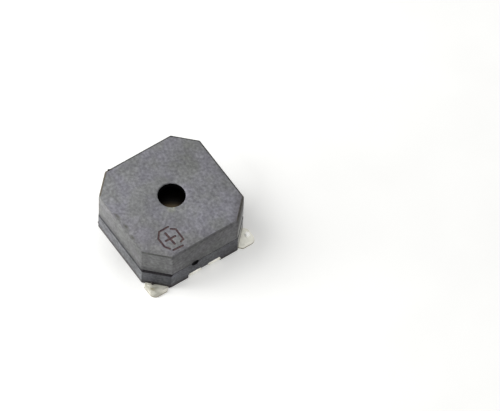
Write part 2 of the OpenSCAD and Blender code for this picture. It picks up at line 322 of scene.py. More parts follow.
def on_diagonal(outward, sideways):
    """A point of the blank, along and across the diagonal of the corner at +X -Y."""
    return Vector((outward + sideways, sideways - outward, 0)) / DIAGONAL


def arc_points(centre, radius, start, end, steps):
    """Points on an arc in the plan, angles in degrees."""
    angles = [radians(start + (end - start) * step / steps) for step in range(steps + 1)]
    return [centre + radius * Vector((cos(angle), sin(angle), 0)) for angle in angles]


def blank_outline(with_land, trimmed):
    """Outline of a terminal's flat blank, before its pad is bent."""
    half = (trimmed_width if trimmed else pad_width) / 2
    neck_foot = rail_outer * DIAGONAL - neck_half
    if trimmed:
        pad = [on_diagonal(trimmed_tip + unrolled, edge) for edge in (half, -half)]
    else:
        middle = Vector((frame_reach - corner_r, corner_r - frame_reach, 0))
        shoulder = frame_reach * DIAGONAL - half + unrolled
        pad = [on_diagonal(shoulder, half),
               *arc_points(middle + on_diagonal(unrolled, 0), corner_r, 0, -90, 8),
               on_diagonal(shoulder, -half)]
    outline = [Vector((rail_inner, -tie_near, 0)), Vector((frame_reach, -tie_near, 0)),
               Vector((frame_reach, -tie_far, 0)), Vector((rail_outer, -tie_far, 0)),
               on_diagonal(neck_foot, neck_half), on_diagonal(pad_root, neck_half),
               on_diagonal(pad_root, half), *pad, on_diagonal(pad_root, -half),
               on_diagonal(pad_root, -neck_half)]
    if with_land:
        arm_low = land_at + arm_half
        outline.append(on_diagonal(arm_low * DIAGONAL - neck_half, -neck_half))
        opening = degrees(asin(arm_half / land_r))
        outline += arc_points(Vector((0, -land_at, 0)), land_r, -opening, opening - 360, 28)
        outline.append(Vector((rail_inner, arm_half - land_at, 0)))
    else:
        outline += [on_diagonal(neck_end, -neck_half),
                    Vector((rail_inner, rail_inner - neck_end * DIAGONAL, 0))]
    return outline


def bend_pad(bm):
    """Bends the blank past its neck: down, straight, and out again under the corner."""
    for vert in bm.verts:
        outward = (vert.co.x - vert.co.y) / DIAGONAL
        sideways = (vert.co.x + vert.co.y) / DIAGONAL
        over = vert.co.z
        past = outward - first_bend
        if past <= 0.0:
            vert.co.z += embedded_middle
            continue
        level = embedded_middle - bend_middle
        if past <= bend_length:
            angle = past / bend_middle
            outward = first_bend + (bend_middle + over) * sin(angle)
            height = level + (bend_middle + over) * cos(angle)
        elif past <= bend_length + riser:
            outward = first_bend + bend_middle + over
            height = level - (past - bend_length)
        elif past <= 2 * bend_length + riser:
            angle = (past - bend_length - riser) / bend_middle
            outward = first_bend + 2 * bend_middle - (bend_middle - over) * cos(angle)
            height = level - riser - (bend_middle - over) * sin(angle)
        else:
            outward -= unrolled
            height = sheet_t / 2 + over
        vert.co = on_diagonal(outward, sideways) + Vector((0, 0, height))


def terminal_mesh(x_side, y_side, with_land, trimmed):
    """A stamped and bent terminal for one corner."""
    bm = bmesh.new()
    blank = bm.faces.new([bm.verts.new(point) for point in blank_outline(with_land, trimmed)])
    move(bm, (0, 0, -sheet_t / 2))
    push_out(bm, [blank], (0, 0, sheet_t))
    round_edges(close_up(bm), stamped_edge, 2, lambda edge: rise(edge) < 1e-6)
    cuts = [first_bend + bend_length * step / 4 for step in range(5)]
    for cut in cuts + [cut + bend_length + riser for cut in cuts]:
        split(bm, on_diagonal(cut, 0), on_diagonal(1, 0))
    bend_pad(bm)
    for face in bm.faces:
        face.normal_update()
        if face.calc_center_median().z < sheet_t and abs(face.normal.z) < 0.3:
            face.material_index = 1
    resize(bm, (x_side, -y_side, 1))
    return close_up(bm)


tin = tin_plating()
sheared = mottled("sheared_brass", (0.22, 0.18, 0.13), (0.40, 0.36, 0.29), (0.2, 3.0),
                  (0.06, 2.0), 0.004, Metallic=0.3, Roughness=0.5)
TERMINALS = (("terminal_plus", 1, -1, True, False), ("terminal_minus", -1, 1, True, False),
             ("terminal_dummy", 1, 1, False, False),
             ("terminal_dummy_trimmed", -1, -1, False, True))
for node, *shape in TERMINALS:
    finish_piece(terminal_mesh(*shape), "tinned_" + node, [tin, sheared], node)


# --- Base ---
# Black liquid-crystal polymer, moulded around the lead frame. Its two round holes are
# where the mould's pins held the solder lands, and the notches under two sides bare the
# tie bars for cropping. Its outer faces copy a spark-eroded mould, so they look grey.
def shaded(material, factor, tone, shade):
    """A colour multiplied by another one, as far as factor goes."""
    return mixed(material, factor, tone, shade, "MULTIPLY")


def moulded(name, tones, tints, light_and_tint_bands=(), light_and_tone_spots=(), grain=0.2, streak=0.0,
            shine=0.28, rough=(0.52, 0.72), dulled=()):
    """Plastic with a spark-eroded grain in three tones, and a slow drift between two
    tints. Each band is a direction, two distances along it, and the colour past them:
    mostly painted shade or painted light, at times a tint. Each spot is a centre,
    half-widths and a colour: painted light or shade, or a tone of the plastic. The gloss
    fades out between the two heights of dulled."""
    material = start_material(name, Roughness=0.62, Specular_IOR_Level=shine)
    speckle = lumps(material, grain, 2.5, 0.55)
    tone = shades(material, speckle, *zip((0.30, 0.50, 0.70), tones))
    blotch = shades(material, lumps(material, 3.4 * grain, 1.0), (0.35, 0.92), (0.65, 1.08))
    tint = shades(material, lumps(material, 2.0, 2.0, 0.6), *zip((0.40, 0.60), tints))
    tone = shaded(material, 1.0, shaded(material, 1.0, tone, blotch), tint)
    if streak:
        lines = place(material, stretch=(1.8, 0.6, 1.0), turn=radians(172))
        lines = spread(material, lumps(material, 0.3, where=lines), 0.56, 0.74, 0.0, streak)
        tone = mixed(material, lines, tone, tones[-1])
    for direction, start, end, shade in light_and_tint_bands:
        share = spread(material, along(material, direction), start, end)
        tone = shaded(material, share, tone, shade)
    for centre, size, shade, *core in light_and_tone_spots:
        tone = shaded(material, spot(material, centre, size, *core), tone, shade)
    matte = spread(material, lumps(material, 0.15), 0.3, 0.7, *rough)
    if dulled:
        higher = spread(material, along(material, (0, 0, 1)), *dulled, 0.0, 0.4)
        matte = worked(material, "ADD", matte, higher)
    return coat(material, tone, matte, [
        (lumps(material, 0.20), 0.012), (lumps(material, 0.045), 0.006)])


def block(half, legs, low, high):
    """The body's eight-sided outline raised into a block. The legs are the four corners'
    cuts, from +X -Y round by +X +Y and -X +Y to -X -Y."""
    corners = []
    for (x_side, y_side), leg in zip(((1, -1), (1, 1), (-1, 1), (-1, -1)), legs):
        wide = Vector((half * x_side, (half - leg) * y_side, low))
        narrow = Vector(((half - leg) * x_side, half * y_side, low))
        corners += [narrow, wide] if x_side * y_side < 0 else [wide, narrow]
    bm = bmesh.new()
    foot = bm.faces.new([bm.verts.new(corner) for corner in corners])
    push_out(bm, [foot], (0, 0, high - low))
    return close_up(bm)


def round_upright(bm, width):
    """Rounds a block's upright edges."""
    round_edges(bm, width, 3, lambda edge: rise(edge) > 1e-4)


def round_rim(bm, height, width, segments=3):
    """Rounds the outer edges of a block's flat face at a height."""
    round_edges(bm, width, segments, lambda edge: edge.calc_face_angle(0.0) > 0.8
                and all(abs(vert.co.z - height) < 1e-5 for vert in edge.verts))


def turned(profile, steps=128, angle=2 * pi, start=0.0):
    """A profile of (radius, height) points spun about the Z axis into a closed shape."""
    bm = bmesh.new()
    spin_from = Matrix.Rotation(start, 3, "Z")
    verts = [bm.verts.new(spin_from @ Vector((radius, 0, z))) for radius, z in profile]
    whole = angle == 2 * pi
    if whole:
        geom = verts + [bm.edges.new((a, b)) for a, b in zip(verts, verts[1:])]
        if profile[0][0] and profile[-1][0]:
            geom.append(bm.edges.new((verts[-1], verts[0])))
    else:
        face = bm.faces.new(verts)
        geom = verts + face.edges[:] + [face]
    bmesh.ops.spin(bm, geom=geom, axis=(0, 0, 1), angle=angle, steps=steps, use_merge=whole)
    return close_up(bm)


def ring(inner, outer, low, high, steps=128):
    """A flat-faced ring, or a disc if its inner radius is 0."""
    return turned([(inner, low), (outer, low), (outer, high), (inner, high)], steps)


def combine(body, tool, operation="DIFFERENCE", number=None):
    """Cuts the closed shape tool out of body, or joins it on. number is the material
    that the tool's faces bring with them."""
    if number is not None:
        for face in tool.faces:
            face.material_index = number
    rough = []
    for bm in (body, tool):
        mesh = as_mesh(bm)
        for empty_slot in range(8):
            mesh.materials.append(None)
        rough.append(in_scene("rough", mesh))
    modifier = rough[0].modifiers.new("combine", "BOOLEAN")
    modifier.object = rough[1]
    modifier.operation = operation
    modifier.solver = "EXACT"
    result = bmesh.new()
    result.from_object(rough[0], bpy.context.evaluated_depsgraph_get())
    for item in rough:
        mesh = item.data
        bpy.data.objects.remove(item)
        bpy.data.meshes.remove(mesh)
    bmesh.ops.remove_doubles(result, verts=result.verts[:], dist=2e-5)
    bmesh.ops.dissolve_degenerate(result, edges=result.edges[:], dist=2e-5)
    return result


def notch_tool(side):
    """A box with rounded upright edges, to cut the notch under the base on one side."""
    bm = bmesh.new()
    bmesh.ops.create_cube(bm, size=1.0)
    outer = base_half + 1.0
    resize(bm, (outer - notch_foot, 2 * notch_half, notch_top + 1.0))
    move(bm, (side * (notch_foot + outer) / 2, 0, (notch_top - 1.0) / 2))
    round_upright(bm, notch_round)
    return bm


def burr(centre, radius):
    """A small lump of flash, taller than it is wide."""
    bm = bmesh.new()
    bmesh.ops.create_icosphere(bm, subdivisions=2, radius=radius)
    for vert in bm.verts:
        vert.co *= 1.0 + burr_relief * noise.noise(vert.co * (burr_grain / radius))
    resize(bm, burr_shape)
    move(bm, centre)
    return bm


def round_bar(ends, radius, low, high, segments):
    """An upright closed bar between two points of the plan, with round ends."""
    bm = bmesh.new()
    for x, y in ends:
        for z in (low, high):
            bmesh.ops.create_circle(bm, radius=radius, segments=segments,
                                    matrix=Matrix.Translation((x, y, z)))
    bmesh.ops.convex_hull(bm, input=bm.verts[:])
    bmesh.ops.dissolve_limit(bm, angle_limit=0.001, verts=bm.verts[:], edges=bm.edges[:])
    return bm


def vent_tool():
    """A flat-sided slot with round ends, to cut the vent at the seam in the +X wall."""
    reach = (vent_wide - vent_high) / 2
    bm = round_bar(((0, -reach), (0, reach)), vent_high / 2, 0.0, 1.0, 24)
    bmesh.ops.rotate(bm, verts=bm.verts[:], matrix=Matrix.Rotation(pi / 2, 3, "Y"))
    move(bm, (base_half - vent_deep, vent_y, vent_z))
    return bm


INSIDE, FOOT, REBATE, UNDERSIDE, SHEEN, VENT = range(1, 7)
CORNER_PLUS = Vector((1, -1, 0)) / DIAGONAL
CORNER_DUMMY = Vector((1, 1, 0)) / DIAGONAL


def around_vent(wall):
    """The painted shade about the vent, on a wall at a distance along X."""
    return (wall, vent_y - 0.1, vent_z + 0.1), (0.6, 0.95, 0.8), 0.5, 0.0


def cut_rebate(bm):
    """Lowers the rim's outer edge, most at the corner of the plus terminal, so that a
    dark line stays open under the case. The sloped faces take the rebate's material."""
    rim = [face for face in bm.faces if face.normal.z > 0.9]
    sloped = bmesh.ops.inset_region(
        bm, faces=rim, thickness=rebate_wide, use_boundary=True, use_even_offset=True,
        use_interpolate=True)["faces"]
    for face in sloped:
        face.material_index = REBATE
    edge_verts = set(vert for face in sloped for vert in face.verts
                     if any(abs(other.normal.z) < 0.1 for other in vert.link_faces))
    for vert in edge_verts:
        diagonal = (vert.co.x - vert.co.y) / DIAGONAL
        if diagonal > plus_corner and abs(vert.co.x + vert.co.y) < rebate_end - 0.05:
            vert.co.z -= rebate_drop_plus
        elif vert.co.x > base_half - 0.01:
            vert.co.z += rebate_rise
        else:
            vert.co.z -= rebate_drop


base_low, base_high = box_of("base")
base_half = base_high.x + 0.06
base_shift = -0.05
base_legs = (1.505, 1.39, 1.495, 1.485)
base_floor = 0.70
ring_bore = 3.69
corner_round = 0.05
rebate_wide = 0.14
rebate_drop = 0.12
rebate_drop_plus = 0.13
rebate_rise = 0.05
rebate_end = 1.67
plus_corner = 4.90
foot_low = 0.03
foot_round = 0.05
BASE_BURRS = (((3.36, -3.79, 0.24), 0.10), ((4.18, -2.90, 0.16), 0.10),
              ((-2.82, -4.27, 0.50), 0.08))
burr_relief = 0.5
burr_grain = 1.3
burr_shape = (0.85, 0.85, 1.3)
notch_foot = 3.41
notch_half = 1.35
notch_roof = 0.40
notch_top = notch_roof + 0.02
notch_round = 0.06
pin_r = 0.40
pin_flare = 0.05
window_r = 0.55
window_low = 0.52
vent_wide = 0.60
vent_high = 0.54
vent_deep = 0.15
vent_y = -0.78
vent_z = 1.60

BASE_TONES = ((0.064, 0.065, 0.070), (0.110, 0.112, 0.119), (0.164, 0.166, 0.176))
BASE_TINTS = ((1.0, 0.99, 1.04), (0.98, 1.0, 0.97))
INSIDE_TINTS = ((1.0, 0.99, 1.0), (0.98, 1.0, 0.99))
# Painted shade: faces inside the part and its holes, of the same plastic, made near black.
inside_shade = moulded("inside_painted_shade", (0.0015, 0.002, 0.003), INSIDE_TINTS, shine=0.03)
# Painted shade inside the vent's recess.
vent_painted_shade = moulded("vent_painted_shade", (0.012, 0.018, 0.026), INSIDE_TINTS, shine=0.05)
base_materials = [
    # Painted light and shade: darker from W to S, lighter on +X and -Y, a painted shadow on
    # the S corner and at the foot, darker and lighter spots on the S and +X faces, and shade
    # about the vent.
    moulded(
        "base_grey", BASE_TONES, BASE_TINTS,
        [((1, 0, 0), -2.7, 2.7, 0.86), ((1, 0, 0), 2.8, 3.2, (1.08, 1.08, 1.12)),
         (CORNER_PLUS, 4.985, 5.02, (0.51, 0.51, 0.52)),
         ((0, -1, 0), 4.1, 4.2, (1.08, 1.08, 1.07)),
         ((0, 0, -1), -0.55, -0.20, (0.38, 0.33, 0.31))],
        [((3.58, -3.58, 0.2), (1.3, 1.3, 0.3), (0.55, 0.5, 0.5)),
         ((2.95, -4.15, 0.9), (0.85, 0.85, 1.6), (1.6, 1.6, 1.65), 0),
         ((3.90, -3.20, 0.9), (0.5, 0.5, 1.2), 1.25, 0),
         ((base_half, -0.5, 0.2), (0.6, 4.2, 1.4), (0.86, 0.85, 0.86), 0),
         ((base_half, 2.4, 0.5), (0.6, 1.8, 1.7), (0.60, 0.58, 0.58), 0),
         around_vent(base_half)], streak=0.45),
    inside_shade,
    # Painted shade: the base's lowest, downward faces made dark and brownish, as in the
    # table's shadow.
    moulded(
        "base_foot_painted_shade",
        ((0.016, 0.012, 0.012), (0.026, 0.020, 0.020), (0.040, 0.033, 0.033)),
        ((1.05, 0.98, 0.98), (0.96, 1.0, 1.0))),
    # Painted shade on the rim's sloped rebate faces, darkest at the plus corner, for the
    # seam's dark line.
    moulded(
        "base_rebate_painted_shade",
        ((0.038, 0.039, 0.041), (0.060, 0.062, 0.064), (0.086, 0.088, 0.090)),
        ((1.0, 0.99, 1.02), (0.98, 1.0, 0.98)),
        [(CORNER_PLUS, 4.75, 4.85, (0.38, 0.33, 0.36))], shine=0.1),
    moulded("base_underside", BASE_TONES, BASE_TINTS, streak=0.7),
    # The gloss is the plastic's own; the darker band towards its foot is painted shade.
    moulded(
        "base_glossy_corner", BASE_TONES, BASE_TINTS,
        [((0, 0, -1), -1.1, -0.6, (0.34, 0.28, 0.24))], streak=0.45, shine=0.5,
        rough=(0.22, 0.34)),
    vent_painted_shade]

base = block(base_half, base_legs, foot_low, base_high.z)
round_upright(base, corner_round)
move(base, (0, base_shift, 0))
round_rim(base, foot_low, foot_round)
for side in (-1, 1):
    split(base, (side * rebate_end, 0, 0), (1, 1, 0))
for face in base.faces:
    face.normal_update()
    if face.normal.z < -0.9:
        face.material_index = UNDERSIDE
    elif face.normal.z < -0.05:
        face.material_index = FOOT
    elif face.normal.dot(CORNER_DUMMY) > 0.9:
        face.material_index = SHEEN
cut_rebate(base)
for centre, radius in BASE_BURRS:
    base = combine(base, burr(centre, radius), "UNION", FOOT)
base = combine(base, ring(0, ring_bore, base_floor, base_high.z + 1), number=INSIDE)
for side in (-1, 1):
    base = combine(base, notch_tool(side))
    pin = turned([(0, base_low.z - 0.5), (pin_r + pin_flare, base_low.z - 0.5),
                  (pin_r + pin_flare, base_low.z), (pin_r, base_low.z + pin_flare),
                  (pin_r, notch_roof + 0.05), (0, notch_roof + 0.05)], 48)
    window = ring(0, window_r, window_low, base_floor + 0.5, 48)
    for tool in (pin, window):
        move(tool, (0, side * land_at, 0))
        base = combine(base, tool)
for node, *shape in TERMINALS:
    base = combine(base, terminal_mesh(*shape))
base = combine(base, vent_tool(), number=VENT)
finish_piece(base, "moulded_base", base_materials, "base")


# --- Support ring ---
# A turned brass ring, pressed into the base. Its upper end has a seat for the diaphragm
# inside a thin rim. The ring sets the air gap between the core and the armature.
def soften(bm, width, segments=2):
    """Rounds every edge whose faces meet at more than 30 degrees."""
    round_edges(bm, width, segments, lambda edge: edge.calc_face_angle(0.0) > radians(30))


def brushed_metal(name, dark, light, rough, turn_marks=0.0):
    """Machined metal with slight tone changes and fine marks of the tool around it."""
    material = start_material(name, Metallic=1.0, Roughness=rough)
    tone = shades(material, lumps(material, 0.5, 3.0), (0.35, dark), (0.65, light))
    relief = [(lumps(material, 0.06), 0.003)]
    if turn_marks:
        marks = place(material, stretch=(20.0, 20.0, 0.055))
        relief.append((lumps(material, 1.0, where=marks), turn_marks))
    sheen = spread(material, lumps(material, 0.2), 0.3, 0.7, rough - 0.06, rough + 0.1)
    return coat(material, tone, sheen, relief)


ring_low, ring_high = box_of("support_ring")
ring_inner = 3.25
seat_at = box_of("diaphragm")[0].z
rim_inner = 3.50
support = turned([
    (ring_high.x, ring_low.z), (ring_high.x, ring_high.z), (rim_inner, ring_high.z),
    (rim_inner, seat_at), (ring_inner, seat_at), (ring_inner, ring_low.z)])
soften(support, 0.02)
brass = brushed_metal("turned_brass", (0.56, 0.44, 0.22), (0.68, 0.56, 0.31), 0.3, 0.004)
finish_piece(support, "turned_support_ring", [brass], "support_ring")


# --- Yoke plate and pole core ---
# The magnetic circuit's floor and middle, both of soft iron with a thin nickel finish.
# The plate is blanked from sheet, with two round-ended cuts over the solder lands. The
# core is turned, and its foot is riveted into the plate's hole.
def ring_of(node, inner, steps=128):
    """A ring or a disc that fills a CAD node's box."""
    low, high = box_of(node)
    return ring(inner, high.x, low.z, high.z, steps)


yoke_high = box_of("yoke_plate")[1]
cut_inner = 2.10
cut_outer = 4.50
cut_width = 1.20
foot_r = 0.50
yoke = ring_of("yoke_plate", foot_r, 96)
for side in (-1, 1):
    ends = [(0, side * at) for at in (cut_inner + cut_width / 2, cut_outer)]
    yoke = combine(yoke, round_bar(ends, cut_width / 2, -1, 3, 48))
soften(yoke, 0.02)
nickel = brushed_metal("nickelled_iron", (0.40, 0.39, 0.37), (0.52, 0.51, 0.48), 0.34)
finish_piece(yoke, "blanked_yoke_plate", [nickel], "yoke_plate")

core_low, core_high = box_of("pole_core")
core_r = core_high.x
core = turned([(0, core_low.z), (foot_r, core_low.z), (foot_r, yoke_high.z),
               (core_r, yoke_high.z), (core_r, core_high.z), (0, core_high.z)], 64)
soften(core, 0.03)
finish_piece(core, "turned_pole_core", [nickel], "pole_core")


# --- Coil ---
# Fine enamelled copper wire, wound in layers and stuck together by its own bonding
# coat, so it needs no bobbin. A punched washer of amber film keeps it off the yoke.
def turns_between(start, end, outward):
    """Points of a wall of round turns, laid from start to end and swelling outward."""
    span = Vector(end) - Vector(start)
    count = round(span.length / wire)
    points = []
    for quarter in range(1, 4 * count + 1):
        share = (quarter - 1) % 4 / 4 + 0.25
        swell = swell_room * sqrt(1 - (2 * share - 1) ** 2)
        points.append(tuple(Vector(start) + span * quarter / (4 * count)
                            + Vector(outward) * swell))
    return points


wire = 0.07
coil_low, coil_high = box_of("coil_winding")
coil_r = coil_high.x
coil_inner = 0.80
swell_room = wire * 0.38
outer_r = coil_r - swell_room
top_z = coil_high.z - swell_room
profile = [(coil_inner, coil_low.z), (outer_r, coil_low.z)]
profile += turns_between((outer_r, coil_low.z), (outer_r, top_z), (1, 0))
profile += turns_between((outer_r, top_z), (coil_inner, top_z), (0, 1))
copper = mottled("enamelled_copper", (0.40, 0.13, 0.045), (0.60, 0.23, 0.085), (0.3, 3.0),
                 (0.05, 2.0), 0.002, Metallic=0.8, Roughness=0.28, Coat_Weight=0.6,
                 Coat_Roughness=0.15)
finish_piece(turned(profile[:-1] + [(coil_inner, top_z)], 96), "wound_coil", [copper],
             "coil_winding")

film = mottled("amber_film", (0.55, 0.25, 0.04), (0.66, 0.34, 0.07), (0.8, 3.0),
               (0.4, 2.0), 0.004, 0.4, Roughness=0.25, Transmission_Weight=0.25, IOR=1.6)
washer = ring_of("coil_washer", coil_inner, 96)
soften(washer, 0.01)
finish_piece(washer, "punched_film_washer", [film], "coil_washer")


# --- Coil leads and solder joints ---
# Each end of the winding bends down beside the coil, runs out through a cut in the yoke
# plate, and ends in a small dome of solder on its land in the base.
def bend_end(bm, end, centre, way):
    """Carries a wire's end face round a quarter turn."""
    spun = bmesh.ops.spin(bm, geom=end, cent=centre, axis=(0, -way, 0),
                          angle=pi / 2, steps=6)["geom_last"]
    return [item for item in spun if isinstance(item, bmesh.types.BMFace)]


def lead_wire(side):
    """The coil's lead: a bend, a drop, a second bend and a run out to the land."""
    out_at = box_of("coil_lead_plus")[0].z + wire / 2
    drop_at = coil_r + lead_bend
    bm = bmesh.new()
    bmesh.ops.create_circle(
        bm, cap_ends=True, radius=wire / 2, segments=16,
        matrix=Matrix.Translation((coil_r, 0, coil_low.z + lead_bend))
        @ Matrix.Rotation(pi / 2, 4, "Y"))
    end = bend_end(bm, bm.faces[:], (coil_r, 0, coil_low.z), -1)
    end = push_out(bm, end, (0, 0, out_at + lead_bend - coil_low.z))
    end = bend_end(bm, end, (drop_at + lead_bend, 0, out_at + lead_bend), 1)
    push_out(bm, end, (lead_end - drop_at - lead_bend, 0, 0))
    inner = [face for face in close_up(bm).faces
             if all(len(edge.link_faces) > 2 for edge in face.edges)]
    bmesh.ops.delete(bm, geom=inner, context="FACES_ONLY")
    bmesh.ops.rotate(bm, verts=bm.verts[:], matrix=Matrix.Rotation(side * pi / 2, 3, "Z"))
    return bm


lead_bend = 0.125
lead_end = 2.66
DOME = ((1.0, 0), (0.93, 0.12), (0.80, 0.42), (0.58, 0.72), (0.30, 0.93), (0, 1.0))
solder = mottled("solder", 0.60, (0.76, 0.76, 0.75), (0.2, 3.0), (0.12, 3.0),
                 0.008, Metallic=1.0, Roughness=0.22)
for name, side in (("plus", -1), ("minus", 1)):
    finish_piece(lead_wire(side), "coil_wire_end_" + name, [copper],
                 "coil_lead_" + name)
    joint_low, joint_high = box_of("solder_joint_" + name)
    joint_r = (joint_high.x - joint_low.x) / 2
    joint_h = joint_high.z - joint_low.z
    dome = turned([(0, joint_low.z)] + [(out * joint_r, joint_low.z + up * joint_h)
                                          for out, up in DOME], 40)
    move(dome, (0, side * land_at, 0))
    finish_piece(dome, "solder_dome_" + name, [solder], "solder_joint_" + name)


# --- Ring magnet ---
# A pressed and sintered ring, ground on both faces and barrel-finished, so its edges
# are blunt. It stands on the yoke plate around the coil, and bonds by its own pull.
magnet_inner = 2.35
magnet = ring_of("ring_magnet", magnet_inner)
soften(magnet, 0.06, 3)
sintered = mottled("sintered_magnet", (0.07, 0.07, 0.075), (0.15, 0.15, 0.155),
                   (0.12, 4.0, 0.7), (0.08, 3.0), 0.006, sheen=(0.45, 0.7),
                   Metallic=0.35, Roughness=0.55)
finish_piece(magnet, "sintered_ring_magnet", [sintered], "ring_magnet")


# --- Yoke adhesive ---
# Two runs of clear adhesive between the yoke plate's edge and the support ring, left
# out where the plate is cut away. It cures with a slight hollow in its upper face.
glue_low, glue_high = box_of("yoke_adhesive")
glue_middle = (ring_inner + yoke_high.x) / 2
glue_gap = 0.02
glue_dip = 0.03
glue_step = 0.01
open_half = asin((cut_width / 2 + glue_gap) / ring_inner)
glue = mottled("clear_adhesive", (0.75, 0.66, 0.42), (0.86, 0.80, 0.60), (0.4, 2.0),
               (0.15, 2.0), 0.006, 0.4, Roughness=0.15, Transmission_Weight=0.7, IOR=1.5)
beads = bmesh.new()
for side in (0, 1):
    bead = as_mesh(turned(
        [(yoke_high.x, glue_low.z), (ring_inner, glue_low.z), (ring_inner, glue_high.z),
         (glue_middle, glue_high.z - glue_dip), (yoke_high.x, glue_high.z - glue_step)],
        48, pi - 2 * open_half, pi * side - pi / 2 + open_half))
    beads.from_mesh(bead)
    bpy.data.meshes.remove(bead)
finish_piece(beads, "adhesive_beads", [glue], "yoke_adhesive")


# --- Diaphragm and armature ---
# A thin spring-steel foil that rests on the support ring's seat, held by the magnet's
# pull. The armature, a punched iron disc with a lacquer coat, is spot-welded to it.
foil = ring_of("diaphragm", 0)
soften(foil, 0.01)
steel_foil = brushed_metal("spring_foil", (0.42, 0.36, 0.24), (0.56, 0.50, 0.36), 0.26)
finish_piece(foil, "spring_foil_diaphragm", [steel_foil], "diaphragm")

disc_low, disc_high = box_of("armature_disc")
weld_r = 0.22
weld_dip = 0.03
disc = turned([(0, disc_low.z), (disc_high.x, disc_low.z), (disc_high.x, disc_high.z),
               (weld_r, disc_high.z), (0.6 * weld_r, disc_high.z - weld_dip),
               (0, disc_high.z - weld_dip)], 96)
soften(disc, 0.025)
lacquer = start_material("lacquered_iron", Roughness=0.5, Specular_IOR_Level=0.06)
# Painted light: a brown oval where the lamp falls through the sound hole, near-black lacquer
# elsewhere.
painted_light_oval = spot(lacquer, (0.12, -0.09, disc_high.z), (0.60, 1.3, 0.5), 0.0, radians(-36))
painted_light_tone = shades(lacquer, painted_light_oval, (0, (0.0015, 0.001, 0.0005)),
                   (0.35, (0.022, 0.016, 0.009)), (0.75, (0.14, 0.11, 0.07)))
cloudy = shades(lacquer, lumps(lacquer, 0.5, 3.0), (0.35, 0.75), (0.65, (1.25, 1.2, 1.1)))
coat(lacquer, shaded(lacquer, 1.0, painted_light_tone, cloudy),
     spread(lacquer, lumps(lacquer, 0.3), 0.3, 0.7, 0.28, 0.45),
     [(lumps(lacquer, 0.1), 0.004)])
finish_piece(disc, "armature", [lacquer], "armature_disc")


# --- Seam adhesive ---
# A thin line of dark epoxy on the base's rim, which bonds the case once the diaphragm
# is in. It stays a little back from the walls, so the seam reads as a dark line.
seam_low, seam_high = box_of("seam_adhesive")
seam_legs = (1.44, 1.41, 1.41, 1.41)
bond = block(seam_high.x, seam_legs, seam_low.z, seam_high.z)
bond = combine(bond, ring(0, ring_bore, 0.0, 3.0))
epoxy = mottled("dark_epoxy", (0.008, 0.007, 0.007), (0.02, 0.019, 0.018), (0.3, 3.0),
                (0.15, 2.0), 0.01, Roughness=0.4, Specular_IOR_Level=0.3)
finish_piece(bond, "epoxy_seam", [epoxy], "seam_adhesive")


# --- Case ---
# The lid, moulded from the same black polymer and glued to the base last. Inside it has
# a shelf over the support ring and a round sound chamber under the sound hole. The
# polarity mark is burnt into its roof. One upper edge came out soft from the mould.
case_low, case_high = box_of("case")
case_half = case_high.x + 0.055
case_shift = -0.03
case_legs = (1.58, 1.49, 1.513, 1.54)
shelf_at = 2.62
chamber_r = 3.30
chamber_at = 3.45
hole_r = 1.0
hole_round = 0.10
hole_shift = Vector((-0.10, 0.09, 0))
edge_round = 0.14
foot_soft = 0.03
front_round = 0.03
front_half = 2.70
front_end = front_half + 0.02
front_fade = 0.15
front_strip = 0.30
front_ripple = 0.015
front_lobes = ((-2.45, 0.28, 0.06), (-1.60, 0.38, 0.05), (-0.37, 0.24, 0.20),
               (0.68, 0.26, 0.20), (1.85, 0.22, 0.07))
mark_middle = Vector((2.87, -1.97))
mark_depth = 0.03
ring_stroke = 0.075
plus_stroke = 0.085
RING_STROKES = (((-0.90, 0.39), (-0.90, -0.37), (-0.44, -0.74), (0.34, -0.72), (0.69, -0.51)),
                ((0.90, -0.36), (0.95, 0.41)),
                ((0.61, 0.46), (0.52, 0.725), (-0.44, 0.73), (-0.655, 0.455)))
PLUS_STROKES = (((-0.56, -0.07), (0.52, 0)), ((-0.005, -0.38), (0.01, 0.39)))
CASE_BURR = ((-4.25, -2.48, 3.95), 0.10)
ROOF, WALL, INNER, BURNT, EDGE, FRONT, GLOSSY, SLOT = range(8)
CORNER_TRIMMED = Vector((-1, -1, 0)) / DIAGONAL


def soften_front_edge(bm):
    """Lets the roof's -Y edge run in and out, as where the melt didn't fill the mould."""
    strip = [face for face in bm.faces
             if face.calc_center_median().y < -case_half + edge_round + 0.001
             and face.normal.y < -0.1]
    cuts = 40
    for step in range(1, cuts):
        edges = set(edge for face in strip for edge in face.edges)
        verts = set(vert for face in strip for vert in face.verts)
        result = bmesh.ops.bisect_plane(
            bm, geom=list(verts) + list(edges) + strip, dist=1e-5,
            plane_co=(front_end * (2 * step / cuts - 1), 0, 0), plane_no=(1, 0, 0))
        strip = [item for item in result["geom"] if isinstance(item, bmesh.types.BMFace)]
    for vert in bm.verts:
        depth = vert.co.y + case_half
        if depth > edge_round + 0.002 or vert.co.z < case_high.z - edge_round - 0.002:
            continue
        inward = max(0, depth) / edge_round
        down = (case_high.z - vert.co.z) / edge_round
        lobe = sum(size * exp(-((vert.co.x - at) / width) ** 2)
                   for at, width, size in front_lobes)
        lobe += front_ripple * noise.noise(Vector((vert.co.x * 3.1, 0.0, 4.2)))
        share = min(1.0, max(0, (front_half - abs(vert.co.x)) / front_fade))
        reach = edge_round + share * (front_round + lobe - edge_round)
        drop = edge_round + share * (front_round + 1.1 * lobe - edge_round)
        vert.co.y = inward * reach - case_half
        vert.co.z = case_high.z - down * drop


def not_to_the_front(point):
    """Whether a point of the roof's edge is on a side whose rounded edge takes painted shade.
    """
    behind = point.x < front_half and point.y > -case_half + front_strip
    at_plus = point.x - point.y > 6.7 and point.x > 2.8 and point.y < -2.8
    at_dummy = point.x + point.y > 6.7 and point.y > 2.75
    return behind or at_plus or at_dummy


def on_roof(x, y, wide, deep, shade, *core_and_turn):
    """A patch of another tone on the roof, about an oval's middle and half-widths."""
    return Vector((x, y, case_high.z)), (wide, deep, 0.3), shade, *core_and_turn


